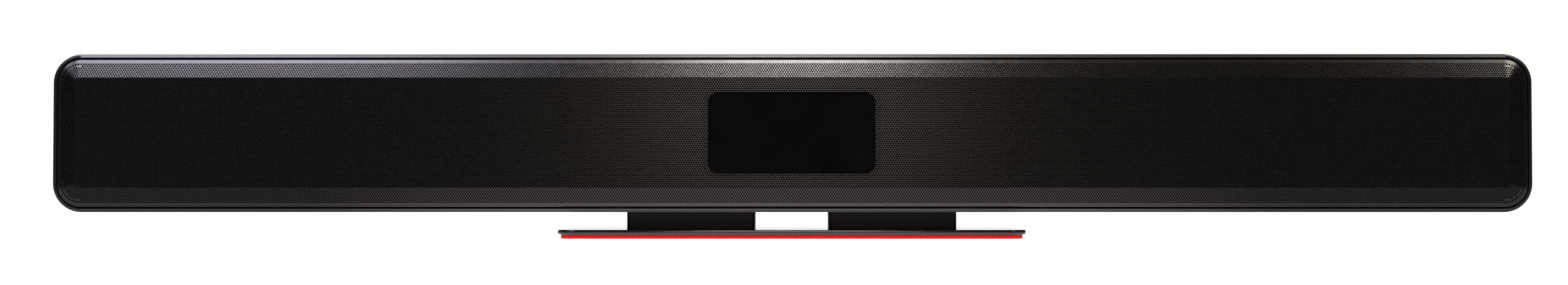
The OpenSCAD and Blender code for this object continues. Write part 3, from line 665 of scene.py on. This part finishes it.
def in_polygons(places, polygons):
    """Whether each place lies in one of these convex polygons, given anticlockwise."""
    found = np.zeros(len(places), bool)
    for polygon in polygons:
        near = np.flatnonzero(np.hypot(*(places - polygon.mean(0)).T) < PITCH)
        ahead = np.roll(polygon, -1, axis=0) - polygon
        offset = places[near, None, :] - polygon[None, :, :]
        found[near] |= np.all(ahead[:, 0] * offset[..., 1] > ahead[:, 1] * offset[..., 0], axis=1)
    return found


def in_plain_cells(places, row, column):
    """Whether each place lies in one of the plain cells, by the nearest hole centre on the flat sheet."""
    sheet_x = unfold(places[:, 0], FLAT_W)
    sheet_z = unfold(places[:, 1], FLAT_H)
    base = np.floor(sheet_z / ROW_PITCH).astype(int)
    best = np.full(len(places), np.inf)
    nearest = np.zeros(len(places), np.int64)
    for r in (base, base + 1):
        c = np.round(sheet_x / PITCH - shifted(r)).astype(int)
        away = np.hypot(sheet_x - PITCH * (c + shifted(r)), sheet_z - ROW_PITCH * r)
        closer = away < best
        best[closer] = away[closer]
        nearest[closer] = (r * ROW_STRIDE + c)[closer]
    return np.isin(nearest, row * ROW_STRIDE + column)


def bend_profile():
    """Inset and depth of each loop of the bent edge: over the bend, along the return and back inside."""
    bevel_end = BEND_R * (1 - math.sin(BEVEL_ANGLE))
    # The first loop lies on the bevel, so that the bevel is shaded flat right up to the bend
    lead = bevel_end + BEND_LEAD
    centre_y = sheet_depth(HALF_W - bevel_end, 0) + BEND_R * math.cos(BEVEL_ANGLE)
    turn = math.pi / 2 - BEVEL_ANGLE
    angles = [BEVEL_ANGLE + turn * i / BEND_STEPS for i in range(BEND_STEPS + 1)]
    bend = [(BEND_R * (1 - math.sin(a)), centre_y - BEND_R * math.cos(a)) for a in angles]
    inner_y = sheet_depth(HALF_W - SHEET, 0) + SHEET / math.cos(BEVEL_ANGLE)
    return [
        (lead, sheet_depth(HALF_W - lead, 0)), *bend,
        (0, RETURN_END), (SHEET, RETURN_END), (SHEET, inner_y),
    ]


def triangulated(places, edges):
    """Places and anticlockwise triangles that cover these places and keep these edges."""
    scale = 1 / MM
    found = delaunay_2d_cdt([Vector(p * scale) for p in places], edges, [], 0, 1e-6)
    places = np.array([tuple(v) for v in found[0]]) / scale
    triangles = np.array([t for t in found[2] if len(t) == 3])
    corners = places[triangles]
    turn = np.cross(corners[:, 1] - corners[:, 0], corners[:, 2] - corners[:, 0])
    triangles[turn < 0] = triangles[turn < 0][:, ::-1]
    return places, triangles


def plain_area(centre, row, column, holes):
    """Places and triangles of the sheet that the plain cells leave, as far as the window and the bend."""
    cells, cell_faces, hole_corners = plain_cells(centre)
    cell_edges = open_edges(cell_faces)
    cell_edges = cell_edges[cell_edges[:, 0] >= hole_corners]
    used, cell_edges = np.unique(cell_edges, return_inverse=True)
    loops = [inset_outline(BEND_INSET), outline(WINDOW_W, WINDOW_H, WINDOW_R), *holes]
    edges = [tuple(e) for e in cell_edges.reshape(-1, 2)]
    first = len(used)
    for loop in loops:
        edges += loop_edges(first, len(loop))
        first += len(loop)
    places, triangles = triangulated(np.concatenate([cells[used], *loops]), edges)

    middle = places[triangles].mean(axis=1)
    sheet = (beyond_bend(middle) < 0) & (beyond_window(middle) >= 0)
    sheet &= ~in_polygons(middle, holes) & ~in_plain_cells(middle, row, column)
    kept, triangles = np.unique(triangles[sheet], return_inverse=True)
    return places[kept], triangles.reshape(-1, 3)


def grille_border(centre, row, column, holes):
    """The rest of the grille: its plain border, corners, window edge, outer bend and return."""
    places, triangles = plain_area(centre, row, column, holes)
    edges = open_edges(triangles)
    middle = places[edges].mean(axis=1)
    at_window = np.abs(beyond_window(middle)) < ON_OUTLINE
    at_bend = beyond_bend(middle) > -ON_OUTLINE
    points, faces = thick_sheet(places, triangles, edges[~at_window & ~at_bend], edges[at_window])

    joined = np.array([int(np.argmin(np.hypot(*(places - p).T))) for p in inset_outline(BEND_INSET)])
    loops = [joined]
    for inset, y in bend_profile():
        x, z = inset_outline(inset).T
        loops.append(len(points) + np.arange(len(x)))
        points = np.concatenate([points, np.column_stack([x, np.full(len(x), y), z + MID_Z])])
    loops.append(joined + len(places))
    for inner, outer in zip(loops, loops[1:]):
        faces.append(np.column_stack([inner, outer, np.roll(outer, -1), np.roll(inner, -1)]))
    return new_piece("grille_border", points, faces, "grille_paint")


def make_grille():
    """The perforated sheet, in panels and a border that take the place of the plain CAD grille."""
    centre, row, column, holes = sort_holes()
    border = grille_border(centre, row, column, holes)
    for panel in perforated_panels(centre, column):
        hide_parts("front_grille")
    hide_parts("front_grille")


make_grille()


# ---- Acoustic cloth ----


def make_cloth():
    """The cloth just behind the grille, stretched over the baffle's frame and cut out at the window."""
    cad_points = node_points("acoustic_cloth") - [0, 0, MID_Z]
    front_y = cad_points[:, 1].min()
    inset = HALF_W - cad_points[:, 0].max()
    cut_w, cut_h, cut_r = window_cut(cad_points[cad_points[:, 1] < front_y + TINY])
    loops = [
        inset_outline(inset),
        outline(FLAT_W, FLAT_H, CORNER_R - BEVEL_W),
        outline(cut_w, cut_h, cut_r),
    ]
    corners = np.arange(sum(len(loop) for loop in loops)).reshape(len(loops), -1)
    after = np.roll(corners, -1, axis=1)
    outer, next_outer = corners[:-1].ravel(), after[:-1].ravel()
    inner, next_inner = corners[1:].ravel(), after[1:].ravel()
    triangles = np.concatenate([
        np.column_stack([outer, next_outer, inner]),
        np.column_stack([next_outer, next_inner, inner]),
    ])
    points, faces = thick_sheet(np.concatenate(loops), triangles, open_edges(triangles),
                                behind=front_y - FRONT, thickness=CLOTH)
    cloth = new_piece("acoustic_cloth_sheet", points, faces, "cloth")
    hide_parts("acoustic_cloth")
    flat = (2 * unfold(HALF_W - inset, FLAT_W), 2 * unfold(HALF_H - inset, FLAT_H))


make_cloth()


# ---- Soft edges on the CAD pieces ----

# Simple enough for a round that is wider than the short facets of their corners
PLAIN_SLABS = ("base_plate", "base_pad")


def soften(node, width):
    """Rounds the sharp edges of a CAD node by that width."""
    piece = frame["nodes"][node]
    weld = piece.modifiers.new("weld", "WELD")
    weld.merge_threshold = TINY
    # The flat faces are made whole first, because a bevel folds over narrow triangles
    whole = piece.modifiers.new("whole_faces", "DECIMATE")
    whole.decimate_type = "DISSOLVE"
    whole.angle_limit = math.radians(0.5)
    bevel = piece.modifiers.new("bevel", "BEVEL")
    bevel.width = width
    bevel.segments = 5
    bevel.limit_method = "ANGLE"
    bevel.angle_limit = math.radians(30)
    bevel.use_clamp_overlap = node not in PLAIN_SLABS
    piece.modifiers.new("normals", "WEIGHTED_NORMAL")


EDGE_ROUNDS = {
    "housing": 0.25 * MM, "rear_cover": 0.3 * MM, "base_plate": 0.9 * MM, "base_pad": 0.4 * MM,
    "left_post": 0.15 * MM, "right_post": 0.15 * MM, "camera_window": 0.3 * MM,
}
for softened, edge_width in EDGE_ROUNDS.items():
    soften(softened, edge_width)


# ---- Stage and light ----


def plane(name, size, place, turn, glow):
    """A white plane of the studio, which isn't part of the object."""
    w, d = size[0] / 2, size[1] / 2
    mesh = bpy.data.meshes.new(name)
    mesh.from_pydata([(-w, -d, 0), (w, -d, 0), (w, d, 0), (-w, d, 0)], [], [(0, 1, 2, 3)])
    piece = bpy.data.objects.new(name, mesh)
    scene.collection.objects.link(piece)
    piece.location = place
    piece.rotation_euler = turn
    white = (0.9, 0.9, 0.9)
    finish = Finish(name).set(base_color=white, roughness=0.9, specular_ior_level=0.1)
    finish.set(emission_color=white, emission_strength=glow)
    mesh.materials.append(finish.material)
    return piece, finish


def painted_table_glow():
    """A glowing card on the table in front of the bar, seen only in reflections: painted light in place
    of the lamps' pool of light on the table, bright in the middle and dim at the ends.
    """
    bright_half = 0.3
    piece, finish = plane("painted_table_glow", (1.3, 0.35), (0, -0.025, 0.2 * MM), (0, 0, 0), 1.0)
    finish.set(emission_color=(0.90, 0.80, 0.86))
    piece.visible_camera = False
    piece.visible_diffuse = False
    piece.visible_shadow = False
    split = finish.tree.nodes.new("ShaderNodeSeparateXYZ")
    finish.tree.links.new(finish.place, split.inputs["Vector"])
    square = finish.tree.nodes.new("ShaderNodeMath")
    square.operation = "MULTIPLY"
    for socket in square.inputs[:2]:
        finish.tree.links.new(split.outputs["X"], socket)
    # Painted light: the card's glow fades from the middle towards the ends, as the lamps' pool of light
    # on the table would
    glow = finish.ramp(square.outputs["Value"], 0, bright_half**2, 1.75, 0.12)
    finish.tree.links.new(glow, finish.shader.inputs["Emission Strength"])


def softbox(name, place, size, power, colour):
    """A rectangular area light that faces the object."""
    data = bpy.data.lights.new(name, "AREA")
    data.shape = "RECTANGLE"
    data.size, data.size_y = size
    data.energy = power
    data.color = colour
    light = bpy.data.objects.new(name, data)
    scene.collection.objects.link(light)
    light.location = place
    aim = Vector((0, 0, MID_Z))
    light.rotation_euler = (aim - light.location).to_track_quat("-Z", "Y").to_euler()


def make_studio():
    """White table and backdrop, and lights above the camera: cool on the left, warm elsewhere."""
    cool = (0.91, 0.885, 1.0)
    row_y = -1.30
    floor, _ = plane("floor", (40, 40), (0, 0, 0), (0, 0, 0), 1.15)
    floor.visible_glossy = False
    backdrop, _ = plane("backdrop", (6, 3), (0, 3, 1.5), (math.pi / 2, 0, 0), 0.32)
    backdrop.visible_camera = False
    painted_table_glow()
    softbox("key", (0.0, row_y, 1.25), (0.28, 0.30), 7.8, (1.0, 0.945, 0.89))
    softbox("left", (-0.85, row_y, 1.32), (0.78, 0.45), 14.8, cool)
    softbox("far_left", (-1.66, row_y, 1.15), (0.84, 0.38), 5.0, cool)
    softbox("right", (1.40, row_y, 1.30), (0.60, 0.40), 10.5, (1.0, 0.95, 0.82))
    softbox("front", (0, -1.6, 0.21), (0.36, 0.38), 1.2, (1.0, 0.94, 0.85))
    world = bpy.data.worlds.new("studio")
    world.use_nodes = True
    world.node_tree.nodes["Background"].inputs["Color"].default_value = (1, 1, 1, 1)
    scene.world = world
    world.cycles_visibility.diffuse = False
    world.cycles_visibility.glossy = False
    scene.view_settings.view_transform = "Standard"


make_studio()
